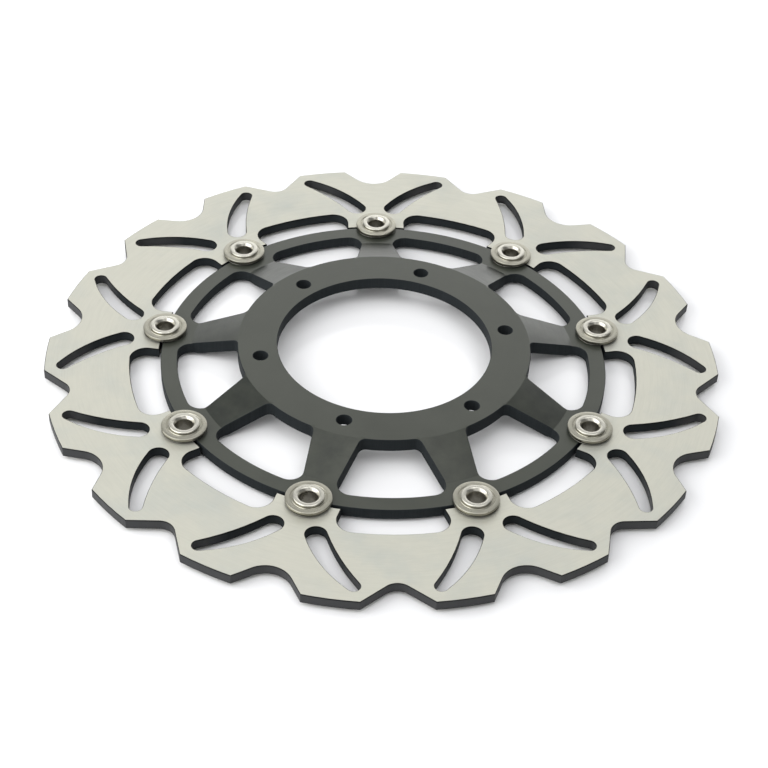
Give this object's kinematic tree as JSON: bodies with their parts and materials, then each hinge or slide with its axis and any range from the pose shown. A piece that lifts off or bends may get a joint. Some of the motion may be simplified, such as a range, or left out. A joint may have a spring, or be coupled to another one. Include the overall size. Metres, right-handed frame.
{
  "type": "brake disc rotor",
  "caption": "Floating brake disc rotor: a dark alloy carrier, a slotted wave-edged stainless friction ring, and the bobbins that join them.",
  "frame": {"origin": "centre of the hub bore, on the carrier's hub face", "axes": "+Z along the axle towards the wheel hub, +X through one bolt hole and bobbin 1"},
  "size_m": [0.2946, 0.296, 0.0139],
  "materials": {
    "friction_steel": "ground flat faces with fine grinding marks, dark oxide on the cut edges",
    "carrier_alloy": "turned and milled, hard anodised dark grey",
    "bobbin_steel": "satin nickel plated, bright on the rolled lip",
    "washer_steel": "satin nickel plated",
    "spring_steel": "satin spring strip"
  },
  "bodies": {
    "carrier_body": {"carrier": "carrier_alloy"},
    "ring_body": {"brake_disc": "friction_steel"},
    "bobbin_set_1": {"bobbin_1": "bobbin_steel", "flat_washer_1": "washer_steel", "spring_washer_1": "spring_steel"},
    "bobbin_set_2": {"bobbin_2": "bobbin_steel", "flat_washer_2": "washer_steel", "spring_washer_2": "spring_steel"},
    "bobbin_set_3": {"bobbin_3": "bobbin_steel", "flat_washer_3": "washer_steel", "spring_washer_3": "spring_steel"},
    "bobbin_set_4": {"bobbin_4": "bobbin_steel", "flat_washer_4": "washer_steel", "spring_washer_4": "spring_steel"},
    "bobbin_set_5": {"bobbin_5": "bobbin_steel", "flat_washer_5": "washer_steel", "spring_washer_5": "spring_steel"},
    "bobbin_set_6": {"bobbin_6": "bobbin_steel", "flat_washer_6": "washer_steel", "spring_washer_6": "spring_steel"},
    "bobbin_set_7": {"bobbin_7": "bobbin_steel", "flat_washer_7": "washer_steel", "spring_washer_7": "spring_steel"},
    "bobbin_set_8": {"bobbin_8": "bobbin_steel", "flat_washer_8": "washer_steel", "spring_washer_8": "spring_steel"},
    "bobbin_set_9": {"bobbin_9": "bobbin_steel", "flat_washer_9": "washer_steel", "spring_washer_9": "spring_steel"}
  },
  "joints": [
    {"name": "ring_float", "type": "slide", "parent": "carrier_body", "child": "ring_body", "axis": [0, 0, 1], "range_m": [-0.0002, 0.0002]},
    {"name": "bobbin_1_spin", "type": "hinge", "parent": "carrier_body", "child": "bobbin_set_1", "pos_m": [0.0985, 0, 0], "axis": [0, 0, 1], "continuous": true},
    {"name": "bobbin_2_spin", "type": "hinge", "parent": "carrier_body", "child": "bobbin_set_2", "pos_m": [0.07545, 0.06331, 0], "axis": [0, 0, 1], "continuous": true},
    {"name": "bobbin_3_spin", "type": "hinge", "parent": "carrier_body", "child": "bobbin_set_3", "pos_m": [0.0171, 0.097, 0], "axis": [0, 0, 1], "continuous": true},
    {"name": "bobbin_4_spin", "type": "hinge", "parent": "carrier_body", "child": "bobbin_set_4", "pos_m": [-0.04925, 0.0853, 0], "axis": [0, 0, 1], "continuous": true},
    {"name": "bobbin_5_spin", "type": "hinge", "parent": "carrier_body", "child": "bobbin_set_5", "pos_m": [-0.09256, 0.03369, 0], "axis": [0, 0, 1], "continuous": true},
    {"name": "bobbin_6_spin", "type": "hinge", "parent": "carrier_body", "child": "bobbin_set_6", "pos_m": [-0.09256, -0.03369, 0], "axis": [0, 0, 1], "continuous": true},
    {"name": "bobbin_7_spin", "type": "hinge", "parent": "carrier_body", "child": "bobbin_set_7", "pos_m": [-0.04925, -0.0853, 0], "axis": [0, 0, 1], "continuous": true},
    {"name": "bobbin_8_spin", "type": "hinge", "parent": "carrier_body", "child": "bobbin_set_8", "pos_m": [0.0171, -0.097, 0], "axis": [0, 0, 1], "continuous": true},
    {"name": "bobbin_9_spin", "type": "hinge", "parent": "carrier_body", "child": "bobbin_set_9", "pos_m": [0.07545, -0.06331, 0], "axis": [0, 0, 1], "continuous": true}
  ]
}
